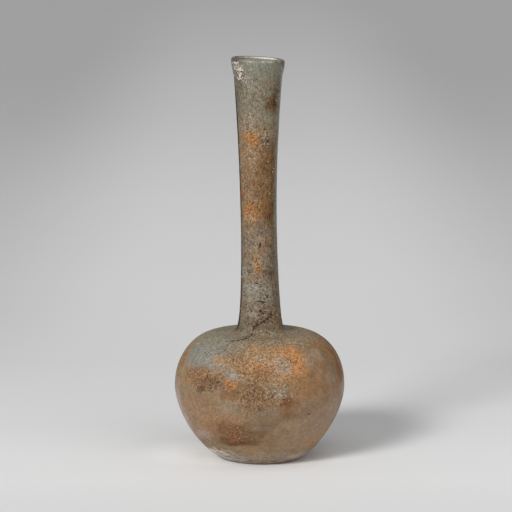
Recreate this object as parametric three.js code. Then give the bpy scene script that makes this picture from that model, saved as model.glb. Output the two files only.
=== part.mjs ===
// A free-blown flask with a squat round body and a long flaring neck, in pale
// blue-green glass. It is one bubble of glass from its pushed-in base to its
// fire-rounded lip. Long burial has left a film of soil on the inside and
// crusts of iron and lime on the outside, and each of these is a piece that
// lies on the glass.
//
// Millimetres, +Z up. The origin is on the table, under the widest part of the
// body. The flask's front looks along -Y.

import * as THREE from 'three';

// Heights of the blown shape, from the table
const TOTAL_HEIGHT = 191.2;
const BODY_HEIGHT = 60.4;
const WIDEST_HEIGHT = 35.4;
const ROOT_RISE = 4.6;
const THROAT_RISE = 47;
const FLARE_DROP = 10;
const BASE_KICK = 5;

// Outer radii of the blown shape
const BODY_RADIUS = 40.4;
const FOOT_EDGE_RADIUS = 17.3;
const FOOT_RING_WIDTH = 3;
const CREST_RADIUS = 19;
const ROOT_RADIUS = 10.5;
const THROAT_RADIUS = 8.5;
const FLARE_RADIUS = 11.25;
const LIP_RADIUS = 12.6;

// Thickness of the glass
const BASE_WALL = 3;
const HEEL_WALL = 2.4;
const BODY_WALL = 1.5;
const SHOULDER_WALL = 1.7;
const ROOT_WALL = 2.2;
const NECK_WALL = 1.7;
const FLARE_WALL = 1.9;
const LIP_WALL = 2.3;

// What the blower's hand left: the foot and the shoulder stand a little to the
// right of the body's centre, the neck leans to the left as it climbs, and the
// rim drops towards the right
const FOOT_SHIFT = 0.6;
const FOOT_SHIFT_HEIGHT = 14;
const SHOULDER_SHIFT = 0.25;
const NECK_SHIFT = -0.8;
const NECK_SHIFT_REACH = 90;
const RIM_DROP = 1.4;
const RIM_DROP_REACH = 24;

// Deposits on the glass
const SEAT_GAP = 0.3;
const THICK_CRUST = 0.6;
const THIN_CRUST = 0.4;
const SOIL_FILM = 0.5;

// Facets
const SEGMENTS_ROUND = 48;
const LIP_ARC_STEPS = 5;
const CRUST_SPOKES = 22;
const CRUST_RINGS = 8;

// Every bend of the outline is a cubic curve. Its two handles are shares of
// how far the curve runs across and up.
const underside_handle_shares = [0.5, 0.5];
const flank_handle_shares = [0.3, 0.46];
const shoulder_handle_shares = [0.455, 0.67];
const root_handle_shares = [0.85, 0.8];
const neck_handle_shares = [0.17, 0.26];
const flare_handle_shares = [0.3, 0.37];
const lip_handle_shares = [0.4, 0.35];

// How far the neck leans out at the root's top, and at the flare, for each
// millimetre that it climbs
const ROOT_LEAN = 0.2;
const FLARE_LEAN = 0.072;

const rootHeight = BODY_HEIGHT + ROOT_RISE;
const throatHeight = rootHeight + THROAT_RISE;
const flareHeight = TOTAL_HEIGHT - FLARE_DROP;
const lipBead = LIP_WALL / 2;
const lipSideHeight = TOTAL_HEIGHT - lipBead;
const footRingRadius = FOOT_EDGE_RADIUS - FOOT_RING_WIDTH;

const at = (radius, height) => new THREE.Vector2(radius, height);

// A cubic curve whose handles are given as steps from its two ends
function bend(start, startStep, endStep, end) {
  return new THREE.CubicBezierCurve(start, start.clone().add(startStep), end.clone().sub(endStep), end);
}

// A curve that leaves flat and arrives upright
function flatToUpright(start, end, [acrossShare, upShare]) {
  const across = (end.x - start.x) * acrossShare;
  const up = (end.y - start.y) * upShare;
  return bend(start, at(across, 0), at(0, up), end);
}

// The outer face, from the middle of the underside up to the lip. Each stretch
// gives the wall behind it at its start and its end.
function outerStretches() {
  const underside = at(0, BASE_KICK);
  const ringInner = at(footRingRadius, 0);
  const ringOuter = at(FOOT_EDGE_RADIUS, 0);
  const widest = at(BODY_RADIUS, WIDEST_HEIGHT);
  const crest = at(CREST_RADIUS, BODY_HEIGHT);
  const rootTop = at(ROOT_RADIUS, rootHeight);
  const throat = at(THROAT_RADIUS, throatHeight);
  const flare = at(FLARE_RADIUS, flareHeight);
  const lipSide = at(LIP_RADIUS, lipSideHeight);

  const kickSteps = underside_handle_shares.map((share) => at(footRingRadius * share, 0));
  const shoulderUp = (BODY_HEIGHT - WIDEST_HEIGHT) * shoulder_handle_shares[0];
  const shoulderAcross = (CREST_RADIUS - BODY_RADIUS) * shoulder_handle_shares[1];
  const rootAcross = (ROOT_RADIUS - CREST_RADIUS) * root_handle_shares[0];
  const rootUp = ROOT_RISE * root_handle_shares[1];
  const neckUp = THROAT_RISE * neck_handle_shares[0];
  const neckDown = THROAT_RISE * neck_handle_shares[1];
  const flareUp = (flareHeight - throatHeight) * flare_handle_shares[0];
  const flareDown = (flareHeight - throatHeight) * flare_handle_shares[1];
  const lipUp = (lipSideHeight - flareHeight) * lip_handle_shares[0];
  const lipDown = (lipSideHeight - flareHeight) * lip_handle_shares[1];

  return [
    {
      name: 'underside', steps: 5, walls: [BASE_WALL, BASE_WALL],
      curve: bend(underside, kickSteps[0], kickSteps[1], ringInner),
    },
    {
      name: 'foot', steps: 1, walls: [BASE_WALL, BASE_WALL],
      curve: new THREE.LineCurve(ringInner, ringOuter),
    },
    {
      name: 'flank', steps: 11, walls: [HEEL_WALL, BODY_WALL],
      curve: flatToUpright(ringOuter, widest, flank_handle_shares),
    },
    {
      name: 'shoulder', steps: 9, walls: [BODY_WALL, SHOULDER_WALL],
      curve: bend(widest, at(0, shoulderUp), at(shoulderAcross, 0), crest),
    },
    {
      name: 'root', steps: 7, walls: [SHOULDER_WALL, ROOT_WALL],
      curve: bend(crest, at(rootAcross, 0), at(-rootUp * ROOT_LEAN, rootUp), rootTop),
    },
    {
      name: 'neck', steps: 6, walls: [ROOT_WALL, NECK_WALL],
      curve: bend(rootTop, at(-neckUp * ROOT_LEAN, neckUp), at(0, neckDown), throat),
    },
    {
      name: 'flare', steps: 6, walls: [NECK_WALL, FLARE_WALL],
      curve: bend(throat, at(0, flareUp), at(flareDown * FLARE_LEAN, flareDown), flare),
    },
    {
      name: 'lip', steps: 3, walls: [FLARE_WALL, LIP_WALL],
      curve: bend(flare, at(lipUp * FLARE_LEAN, lipUp), at(0, lipDown), lipSide),
    },
  ];
}

// Walks the outer face and gives, at each station, both faces of the wall and
// the way out of the glass
function wallStations(stretches) {
  const stations = [];
  for (const { name, curve, steps, walls } of stretches) {
    const first = stations.length === 0 ? 0 : 1;
    for (let step = first; step <= steps; step += 1) {
      const share = step / steps;
      const outer = curve.getPoint(share);
      const along = curve.getTangent(share);
      const out = at(along.y, -along.x);
      const wall = THREE.MathUtils.lerp(walls[0], walls[1], share);
      const inner = outer.clone().addScaledVector(out, -wall);
      stations.push({ stretch: name, share, outer, inner, out });
    }
  }
  return stations;
}

// One face of the glass as a line that can be walked by length. It starts at
// the outer edge of the foot ring.
function makeSkin(stations, face) {
  const start = stations.findIndex(({ stretch, share }) => stretch === 'foot' && share === 1);
  const stops = stations.slice(start).map((station) => ({
    stretch: station.stretch,
    place: station[face],
    out: station.out,
    length: 0,
  }));
  for (let index = 1; index < stops.length; index += 1) {
    const step = stops[index].place.distanceTo(stops[index - 1].place);
    stops[index].length = stops[index - 1].length + step;
  }
  return stops;
}

// The length along the skin at a share of one of its stretches
function lengthAlong(skin, stretch, share) {
  const last = skin.findLastIndex((stop) => stop.stretch === stretch);
  const first = skin.findIndex((stop) => stop.stretch === stretch) - 1;
  return THREE.MathUtils.lerp(skin[first].length, skin[last].length, share);
}

// A point over a skin, before the blower's wobble. The lift is along the way
// out of the glass.
function overSkin(skin, length, angle, lift) {
  const lastLeg = skin.length - 2;
  const found = skin.findIndex((stop) => stop.length > length) - 1;
  const leg = found < 0 ? lastLeg : found;
  const near = skin[leg];
  const far = skin[leg + 1];
  const share = (length - near.length) / (far.length - near.length);
  const place = near.place.clone().lerp(far.place, share);
  const out = near.out.clone().lerp(far.out, share).normalize();
  place.addScaledVector(out, lift);
  return new THREE.Vector3(place.x * Math.cos(angle), place.x * Math.sin(angle), place.y);
}

// The wobble of free-blown glass: the foot, the shoulder and the neck move
// sideways, and the rim sinks from its high side to its low side. The foot
// ring stays flat.
function blow(point) {
  const footShare = 1 - THREE.MathUtils.smoothstep(point.z, 0, FOOT_SHIFT_HEIGHT);
  const shoulderShare = THREE.MathUtils.smoothstep(point.z, WIDEST_HEIGHT, BODY_HEIGHT);
  const neckShare = THREE.MathUtils.smoothstep(point.z, BODY_HEIGHT, BODY_HEIGHT + NECK_SHIFT_REACH);
  const rimShare = THREE.MathUtils.smoothstep(point.z, TOTAL_HEIGHT - RIM_DROP_REACH, TOTAL_HEIGHT);
  const dropShare = (1 + point.x / LIP_RADIUS) / 2;
  point.z -= RIM_DROP * rimShare * dropShare;
  point.x += FOOT_SHIFT * footShare;
  point.x += THREE.MathUtils.lerp(SHOULDER_SHIFT * shoulderShare, NECK_SHIFT, neckShare);
  return point;
}

// Moves every vertex of a geometry to the place that the given function says
function reshape(geometry, placeOf) {
  const positions = geometry.attributes.position;
  const point = new THREE.Vector3();
  for (let index = 0; index < positions.count; index += 1) {
    point.fromBufferAttribute(positions, index);
    const placed = placeOf(point);
    positions.setXYZ(index, placed.x, placed.y, placed.z);
  }
  geometry.computeVertexNormals();
  return geometry;
}

// The whole wall of glass as one turned section, then given its wobble
function vesselGeometry(stations) {
  const outer = stations.map((station) => station.outer);
  const inner = stations.map((station) => station.inner).reverse();
  const lip = [];
  for (let step = 1; step < LIP_ARC_STEPS; step += 1) {
    const turn = Math.PI * step / LIP_ARC_STEPS;
    const across = LIP_RADIUS - lipBead + lipBead * Math.cos(turn);
    lip.push(at(across, lipSideHeight + lipBead * Math.sin(turn)));
  }
  const turned = new THREE.LatheGeometry([...outer, ...lip, ...inner], SEGMENTS_ROUND);
  turned.rotateX(Math.PI / 2);
  return reshape(turned, blow);
}

// A crust's ragged outline, as a share of its half size in each direction
function raggedShare(turn, rhythm) {
  const slow = 0.12 * Math.sin(2 * turn + rhythm);
  const middle = 0.09 * Math.sin(3 * turn - 2 * rhythm);
  const quick = 0.06 * Math.sin(5 * turn + 3 * rhythm);
  return (1 + slow + middle + quick) / 1.15;
}

// The low lumps on a crust's top, as a share of its thickness
function lumpShare(across, up, rhythm) {
  return 0.8 + 0.2 * Math.sin(7 * across + rhythm) * Math.cos(6 * up - rhythm);
}

// A crust is a unit ball pressed flat onto the skin: its lower half lies along
// the glass, and its upper half is the lumpy top
function crustGeometry(skin, crust, rhythm) {
  const ball = new THREE.SphereGeometry(1, CRUST_SPOKES, CRUST_RINGS);
  const middle = lengthAlong(skin, crust.stretch, crust.place_share);
  const stretchLength = lengthAlong(skin, crust.stretch, 1) - lengthAlong(skin, crust.stretch, 0);
  const halfLength = stretchLength * crust.half_length_share;
  const halfTurn = THREE.MathUtils.degToRad(crust.halfTurn);
  const facing = THREE.MathUtils.degToRad(crust.facing);
  return reshape(ball, ({ x, y, z }) => {
    const reach = raggedShare(Math.atan2(z, x), rhythm);
    const rise = Math.max(y, 0) * lumpShare(x, z, rhythm);
    const lift = SEAT_GAP + crust.thickness * rise;
    const length = middle - z * reach * halfLength;
    return blow(overSkin(skin, length, facing + x * reach * halfTurn, lift));
  });
}

// A film of soil is a thin plate bent onto the inner skin. Its upper and lower
// edges wander.
function filmGeometry(skin, film) {
  const plate = new THREE.BoxGeometry(1, 1, 1, film.turnSteps, film.lengthSteps, 1);
  const halfTurn = THREE.MathUtils.degToRad(film.halfTurn);
  const facing = THREE.MathUtils.degToRad(film.facing);
  const lowest = lengthAlong(skin, film.from.stretch, film.from.place_share);
  const highest = lengthAlong(skin, film.to.stretch, film.to.place_share);
  const wander = (highest - lowest) * film.wander_share;
  return reshape(plate, ({ x, y, z }) => {
    const angle = facing + 2 * x * halfTurn;
    const low = lowest + wander * (0.5 + 0.5 * Math.sin(3 * angle));
    const high = highest + wander * (Math.sin(2 * angle) - 1);
    const length = THREE.MathUtils.lerp(low, high, y + 0.5);
    const lift = -SEAT_GAP - SOIL_FILM * (0.5 - z);
    return blow(overSkin(skin, length, angle, lift));
  });
}

const glass = new THREE.MeshStandardMaterial({
  color: 0x8f9c8a, roughness: 0.25, metalness: 0, transparent: true, opacity: 0.55, side: THREE.DoubleSide,
});
const soil = new THREE.MeshStandardMaterial({ color: 0x7d5b3f, roughness: 0.9, metalness: 0 });
const ironCrust = new THREE.MeshStandardMaterial({ color: 0xb06a34, roughness: 0.95, metalness: 0 });
const darkCrust = new THREE.MeshStandardMaterial({ color: 0x6b4a32, roughness: 0.95, metalness: 0 });
const limeCrust = new THREE.MeshStandardMaterial({ color: 0xd8cabb, roughness: 0.9, metalness: 0 });

// Where each crust lies: the stretch of the outline that carries it, its
// middle and half length as shares of that stretch, and the way that it faces
// and half the turn that it covers, in degrees. -90 is the front, 180 the left.
const crusts = [
  {
    name: 'rim_lime_crust', material: limeCrust, thickness: THICK_CRUST, stretch: 'lip',
    place_share: 0.42, half_length_share: 0.42, facing: -141, halfTurn: 21,
  },
  {
    name: 'upper_neck_crust', material: ironCrust, thickness: THICK_CRUST, stretch: 'flare',
    place_share: 0.56, half_length_share: 0.1, facing: -112, halfTurn: 25,
  },
  {
    name: 'pitted_neck_crust', material: limeCrust, thickness: THIN_CRUST, stretch: 'flare',
    place_share: 0.62, half_length_share: 0.08, facing: -60, halfTurn: 20,
  },
  {
    name: 'middle_neck_crust', material: ironCrust, thickness: THICK_CRUST, stretch: 'flare',
    place_share: 0.13, half_length_share: 0.11, facing: -104, halfTurn: 48,
  },
  {
    name: 'lower_neck_crust', material: ironCrust, thickness: THIN_CRUST, stretch: 'neck',
    place_share: 0.61, half_length_share: 0.15, facing: -91, halfTurn: 17,
  },
  {
    name: 'front_shoulder_crust', material: ironCrust, thickness: THICK_CRUST, stretch: 'shoulder',
    place_share: 0.52, half_length_share: 0.27, facing: -92, halfTurn: 19,
  },
  {
    name: 'right_shoulder_crust', material: ironCrust, thickness: THICK_CRUST, stretch: 'shoulder',
    place_share: 0.46, half_length_share: 0.3, facing: -59, halfTurn: 11,
  },
  {
    name: 'left_body_crust', material: darkCrust, thickness: THICK_CRUST, stretch: 'shoulder',
    place_share: 0.27, half_length_share: 0.17, facing: -127, halfTurn: 12,
  },
  {
    name: 'left_edge_crust', material: ironCrust, thickness: THIN_CRUST, stretch: 'shoulder',
    place_share: 0.3, half_length_share: 0.24, facing: -162, halfTurn: 8,
  },
  {
    name: 'belly_lime_crust', material: limeCrust, thickness: THIN_CRUST, stretch: 'shoulder',
    place_share: 0.08, half_length_share: 0.1, facing: -75, halfTurn: 9,
  },
  {
    name: 'belly_rust_spot', material: ironCrust, thickness: THIN_CRUST, stretch: 'shoulder',
    place_share: 0.16, half_length_share: 0.06, facing: -107, halfTurn: 4.5,
  },
];

// The films inside: a broad band round the lower body, and a long strip up the
// neck, both open on the right, where clear glass shows at the edge
const films = [
  {
    name: 'body_soil_film', turnSteps: 30, lengthSteps: 6, facing: -165, halfTurn: 158, wander_share: 0.12,
    from: { stretch: 'flank', place_share: 0.2 }, to: { stretch: 'shoulder', place_share: 0.42 },
  },
  {
    name: 'neck_soil_film', turnSteps: 12, lengthSteps: 10, facing: -170, halfTurn: 140, wander_share: 0.04,
    from: { stretch: 'neck', place_share: 0.1 }, to: { stretch: 'flare', place_share: 0.82 },
  },
];

function makePiece(name, geometry, material) {
  const piece = new THREE.Mesh(geometry, material);
  piece.name = name;
  return piece;
}

const stations = wallStations(outerStretches());
const outerSkin = makeSkin(stations, 'outer');
const innerSkin = makeSkin(stations, 'inner');

const flask = new THREE.Group();
flask.name = 'flask';
flask.add(makePiece('glass_vessel', vesselGeometry(stations), glass));
for (const film of films) {
  flask.add(makePiece(film.name, filmGeometry(innerSkin, film), soil));
}
crusts.forEach((crust, index) => {
  flask.add(makePiece(crust.name, crustGeometry(outerSkin, crust, index + 1), crust.material));
});

export default flask;
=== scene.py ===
import math
import random
from collections import namedtuple
from functools import partialmethod

import bpy
import numpy as np
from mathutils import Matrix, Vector, noise


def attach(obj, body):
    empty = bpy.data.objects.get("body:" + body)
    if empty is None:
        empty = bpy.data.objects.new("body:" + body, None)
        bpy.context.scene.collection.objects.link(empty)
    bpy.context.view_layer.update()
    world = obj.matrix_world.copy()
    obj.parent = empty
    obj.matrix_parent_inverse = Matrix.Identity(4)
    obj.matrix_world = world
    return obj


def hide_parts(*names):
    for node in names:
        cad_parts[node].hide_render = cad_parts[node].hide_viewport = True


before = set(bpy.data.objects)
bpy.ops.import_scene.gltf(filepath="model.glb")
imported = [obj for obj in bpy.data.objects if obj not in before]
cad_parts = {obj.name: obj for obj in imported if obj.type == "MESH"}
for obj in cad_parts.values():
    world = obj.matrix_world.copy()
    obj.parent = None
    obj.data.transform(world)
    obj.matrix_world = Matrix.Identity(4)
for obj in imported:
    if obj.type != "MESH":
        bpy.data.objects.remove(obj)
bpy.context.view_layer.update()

MM = 0.001

# The blown shape, in millimetres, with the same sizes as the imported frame
TOTAL_HEIGHT = 191.2
BODY_HEIGHT = 60.4
WIDEST_HEIGHT = 35.4
ROOT_RISE = 4.6
THROAT_RISE = 47
FLARE_DROP = 10
BASE_KICK = 5
BODY_RADIUS = 40.4
FOOT_EDGE_RADIUS = 17.3
FOOT_RING_WIDTH = 3
CREST_RADIUS = 19
ROOT_RADIUS = 10.5
THROAT_RADIUS = 8.5
FLARE_RADIUS = 11.25
LIP_RADIUS = 12.6
BASE_WALL = 3
HEEL_WALL = 2.4
BODY_WALL = 1.5
SHOULDER_WALL = 1.7
ROOT_WALL = 2.2
NECK_WALL = 1.7
FLARE_WALL = 1.9
LIP_WALL = 2.3
FOOT_SHIFT = 0.6
FOOT_SHIFT_HEIGHT = 14
SHOULDER_SHIFT = 0.25
NECK_SHIFT = -0.8
NECK_SHIFT_REACH = 90
RIM_DROP = 1.4
RIM_DROP_REACH = 24
ROOT_LEAN = 0.2
FLARE_LEAN = 0.072

ROOT_HEIGHT = BODY_HEIGHT + ROOT_RISE
THROAT_HEIGHT = ROOT_HEIGHT + THROAT_RISE
FLARE_HEIGHT = TOTAL_HEIGHT - FLARE_DROP
LIP_BEAD = LIP_WALL / 2
LIP_SIDE_HEIGHT = TOTAL_HEIGHT - LIP_BEAD
FOOT_RING_RADIUS = FOOT_EDGE_RADIUS - FOOT_RING_WIDTH

# The outer face from the middle of the underside to the lip. Each stretch has a name, its end, and the
# wall at its start and its end. Each of its two handles has a length, as a share of how far the stretch
# runs across if the handle is level or up if it leans, and how far it leans out for each millimetre up
LEVEL = None
UNDERSIDE_MIDDLE = (0, BASE_KICK)
STRETCHES = [
    ("underside", (FOOT_RING_RADIUS, 0), BASE_WALL, BASE_WALL, (0.5, LEVEL), (0.5, LEVEL)),
    ("foot", (FOOT_EDGE_RADIUS, 0), BASE_WALL, BASE_WALL, (1 / 3, LEVEL), (1 / 3, LEVEL)),
    ("flank", (BODY_RADIUS, WIDEST_HEIGHT), HEEL_WALL, BODY_WALL, (0.3, LEVEL), (0.46, 0)),
    ("shoulder", (CREST_RADIUS, BODY_HEIGHT), BODY_WALL, SHOULDER_WALL, (0.455, 0), (0.67, LEVEL)),
    ("root", (ROOT_RADIUS, ROOT_HEIGHT), SHOULDER_WALL, ROOT_WALL, (0.85, LEVEL), (0.8, -ROOT_LEAN)),
    ("neck", (THROAT_RADIUS, THROAT_HEIGHT), ROOT_WALL, NECK_WALL, (0.17, -ROOT_LEAN), (0.26, 0)),
    ("flare", (FLARE_RADIUS, FLARE_HEIGHT), NECK_WALL, FLARE_WALL, (0.3, 0), (0.37, FLARE_LEAN)),
    ("lip", (LIP_RADIUS, LIP_SIDE_HEIGHT), FLARE_WALL, LIP_WALL, (0.4, FLARE_LEAN), (0.35, 0)),
]

# The photograph's camera: a long lens that looks down a little
PICTURE_PIXELS = 512
FOCAL_PIXELS = 2800
SENSOR = 36
CAMERA_PITCH = math.radians(9)
CAMERA_DISTANCE = 1310
CAMERA_HEIGHT = 304.2
CAMERA_SIDE = -1.72
CAMERA_REACH = 50000

# How fine the meshes are: degrees round the front and the back, and millimetres along the glass
FRONT_HALF_TURN = 96
FRONT_TURN_STEP = 1.2
BACK_TURN_STEP = 2.1
OUTLINE_STEP = 0.8
INSIDE_STEP = 2.6
LIP_ARC_STEPS = 14
CURVE_SAMPLES = 80
NUDGE = 1e-4
CRUST_STEP = 0.3
LINE_STEP = 0.25
# How often the cells of a crust that touch only at a corner are joined
CORNER_ROUNDS = 3


# The outline of the glass

def bezier(start, end, handles):
    """Points along a cubic curve, for shares of it, from its ends and its handles' lengths and leans."""
    start, end = np.array(start, float), np.array(end, float)
    across, up = end - start
    steps = [(across * share, 0) if lean is LEVEL else (up * share * lean, up * share)
             for share, lean in handles]
    bends = start + steps[0], end - steps[1]

    def at(share):
        share = np.asarray(share)[:, None]
        rest = 1 - share
        ends = rest ** 3 * start + share ** 3 * end
        return ends + 3 * rest ** 2 * share * bends[0] + 3 * rest * share ** 2 * bends[1]
    return at


Skin = namedtuple("Skin", "places outs climbs")


def walk_outline(step):
    """The outer and the inner face: places, ways out of the glass, and climbs.

    Climbs are measured up the outer face from the edge of the foot.
    """
    outers, outs, walls, climbs = [], [], [], []
    climb, start = 0, UNDERSIDE_MIDDLE
    samples = np.linspace(0, 1, CURVE_SAMPLES)
    for name, end, wall_start, wall_end, *handles in STRETCHES:
        curve = bezier(start, end, handles)
        start = end
        legs = np.hypot(*np.diff(curve(samples), axis=0).T)
        count = max(2, round(legs.sum() / step))
        shares = np.linspace(0, 1, count + 1)[1 if outers else 0:]
        along = curve(np.minimum(shares + NUDGE, 1)) - curve(np.maximum(shares - NUDGE, 0))
        along /= np.hypot(*along.T)[:, None]
        if name == "flank":
            climbs = [earlier - climb for earlier in climbs]
            climb = 0
        climbs.append(climb + np.interp(shares, samples, np.concatenate([[0], np.cumsum(legs)])))
        climb += legs.sum()
        outers.append(curve(shares))
        outs.append(np.stack([along[:, 1], -along[:, 0]], axis=1))
        walls.append(wall_start + (wall_end - wall_start) * shares)
    outer, out, climbs = np.vstack(outers), np.vstack(outs), np.concatenate(climbs)
    inner = outer - out * np.concatenate(walls)[:, None]
    return Skin(outer, out, climbs), Skin(inner, out, climbs)


outer_skin, inner_skin = walk_outline(OUTLINE_STEP)


def smooth(value, low, high):
    share = np.clip((value - low) / (high - low), 0, 1)
    return share * share * (3 - 2 * share)


def blow(points):
    """The wobble of free-blown glass on an array of points, in millimetres."""
    x, y, z = points.T
    foot = 1 - smooth(z, 0, FOOT_SHIFT_HEIGHT)
    shoulder = smooth(z, WIDEST_HEIGHT, BODY_HEIGHT)
    neck = smooth(z, BODY_HEIGHT, BODY_HEIGHT + NECK_SHIFT_REACH)
    rim = smooth(z, TOTAL_HEIGHT - RIM_DROP_REACH, TOTAL_HEIGHT)
    lowered = z - RIM_DROP * rim * (1 + x / LIP_RADIUS) / 2
    shifted = x + FOOT_SHIFT * foot + SHOULDER_SHIFT * shoulder * (1 - neck) + NECK_SHIFT * neck
    return np.stack([shifted, y, lowered], axis=1)


def radius_at(climbs):
    return np.interp(climbs, outer_skin.climbs, outer_skin.places[:, 0])


def over_skin(skin, turns, climbs, lifts):
    """Points over a skin: turns in degrees from the front, climbs up the outline, lifts out of it."""
    turns, climbs, lifts = (np.ravel(each) for each in (turns, climbs, lifts))
    places, outs = (np.stack([np.interp(climbs, skin.climbs, column) for column in table.T])
                    for table in (skin.places, skin.outs))
    radius, height = places + outs * lifts
    angles = np.radians(turns - 90)
    return blow(np.stack([radius * np.cos(angles), radius * np.sin(angles), height], axis=1))


def skin_grid(skin, turns, climbs):
    """Each climb with each turn, as two tables, and the points on the skin there."""
    all_turns, all_climbs = np.meshgrid(turns, climbs)
    return all_turns, all_climbs, over_skin(skin, all_turns, all_climbs, 0)


# Noise in space, on arrays of points in millimetres: its lumps are about size across

LUMP_FADE = 0.9
LUMP_RATIO = 2


def noise_at(points, size, seed, measure):
    move = Vector((seed, seed, seed))
    return np.array([measure(Vector(point) / size + move) for point in points])


def soft_noise(points, size, seed):
    """Smooth noise from about -1 to 1."""
    return noise_at(points, size, seed, noise.noise)


def rough_noise(points, size, seed, octaves=4):
    """Noise with finer and finer lumps on its lumps."""
    return noise_at(points, size, seed, lambda place: noise.fractal(place, LUMP_FADE, LUMP_RATIO, octaves))


def grain_noise(points, size, seed):
    """How far each point is from the middle of its grain, as a share of the grains' spacing."""
    return noise_at(points, size, seed, lambda place: noise.voronoi(place)[0][0])


def mixed_noise(points, parts):
    """The sum of soft noises, each with a reach, a size and a seed."""
    return sum(reach * soft_noise(points, size, seed) for reach, size, seed in parts)


# Meshes

def add_object(name, data):
    thing = bpy.data.objects.new(name, data)
    bpy.context.scene.collection.objects.link(thing)
    return thing


def make_mesh(name, points, faces, smooth_faces=True):
    """A mesh object from points in millimetres."""
    mesh = bpy.data.meshes.new(name)
    mesh.from_pydata((np.asarray(points) * MM).tolist(), [], faces)
    mesh.validate()
    mesh.update()
    mesh.polygons.foreach_set("use_smooth", [smooth_faces] * len(mesh.polygons))
    return add_object(name, mesh)


def add_colours(piece, name, values):
    """Stores three numbers for each point of a mesh, for its material's nodes to read."""
    layer = piece.data.attributes.new(name, "FLOAT_COLOR", "POINT")
    full = np.concatenate([values, np.ones((len(values), 1))], axis=1)
    layer.data.foreach_set("color", full.ravel())


def turned_faces(rows, columns):
    """Faces of a turned wall whose first and last rows are single points."""
    faces = []
    for column in range(columns):
        after = (column + 1) % columns
        faces.append((0, 1 + after, 1 + column))
        for row in range(rows - 3):
            low, high = 1 + row * columns, 1 + (row + 1) * columns
            faces.append((low + column, low + after, high + after, high + column))
        last = 1 + (rows - 3) * columns
        faces.append((last + column, last + after, last + columns))
    return faces


def corner_views(table):
    """For each cell between a table's points, the values at its corners, in order round it."""
    return table[:-1, :-1], table[:-1, 1:], table[1:, 1:], table[1:, :-1]


def crust_shell(skin, turns, climbs, heights, sink, side=1):
    """A closed crust on a skin, from its heights over a grid of climbs and turns.

    It ends where they fall below zero, and at the edge of the grid.
    """
    heights = heights.reshape(len(climbs), len(turns))
    heights[[0, -1]] = -1
    heights[:, [0, -1]] = -1
    cells = np.maximum.reduce(corner_views(heights)) > 0
    first, second, third, fourth = corner_views(cells)
    for _ in range(CORNER_ROUNDS):
        falling = first & third & ~fourth & ~second
        rising = fourth & second & ~first & ~third
        fourth |= falling
        first |= rising
    around = np.pad(cells, 1)
    used = np.logical_or.reduce(corner_views(around))
    index = np.cumsum(used.ravel()).reshape(used.shape) - 1
    count = int(used.sum())
    all_turns, all_climbs = (table[used] for table in np.meshgrid(turns, climbs))
    top = over_skin(skin, all_turns, all_climbs, side * np.maximum(heights[used], -sink / 2))
    bottom = over_skin(skin, all_turns, all_climbs, -side * sink)
    corners = corner_views(index)[::side]
    tops = np.stack([corner[cells] for corner in corners], axis=1)
    faces = [tops, tops[:, ::-1] + count]
    ways = [(-side, 0), (0, 1), (side, 0), (0, -1)]
    for (down, across), start, end in zip(ways, corners, corners[1:] + corners[:1]):
        beside = around[1 + down:1 + down + cells.shape[0], 1 + across:1 + across + cells.shape[1]]
        edge = cells & ~beside
        faces.append(np.stack([end[edge], start[edge], start[edge] + count, end[edge] + count], axis=1))
    return np.vstack([top, bottom]), np.vstack(faces)


def join_shells(name, shells):
    """One piece from several closed shells."""
    points, faces, count = [], [], 0
    for shell_points, shell_faces in shells:
        points.append(shell_points)
        faces.extend(tuple(int(corner) + count for corner in face) for face in shell_faces)
        count += len(shell_points)
    return make_mesh(name, np.vstack(points), faces)


# Weathering and some painted shade and highlights, as patches: a turn in degrees from the front, a climb
# in millimetres up the outline, half sizes in millimetres across and along, a strength, and a tilt in
# degrees where it has one

Patch = namedtuple("Patch", "kind turn climb across along strength tilt", defaults=[0])
GROUND_TONE = "dun"
TONES = {
    "dun": (128, 108, 84), "sage": (127, 120, 101), "tan": (140, 118, 94), "clay": (126, 101, 75),
    "amber": (141, 114, 84), "orange": (172, 121, 77), "copper": (156, 109, 66), "sand": (154, 120, 86),
    "fog": (146, 128, 109), "haze": (125, 120, 110), "mist": (131, 126, 117), "pale": (222, 206, 195),
    "dust_and_painted_light": (178, 159, 139), "film": (139, 109, 80), "blush": (163, 142, 129), "brown": (138, 103, 69),
    "walnut": (121, 90, 62), "earth": (107, 79, 49), "rust": (118, 80, 48), "bark": (105, 72, 43),
    "red": (130, 80, 46), "umber": (68, 55, 41), "beige": (148, 122, 97), "grey": (130, 113, 94),
    "stone": (112, 99, 84), "shade": (88, 76, 56), "moss": (103, 100, 85), "edge_shade_and_dirt": (36, 27, 20),
    "highlight_and_white_speck": (236, 234, 228), "ochre": (148, 104, 60), "slate": (110, 103, 98), "peat": (92, 62, 36),
    "olive": (112, 104, 85), "teal": (122, 122, 112),
}

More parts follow.
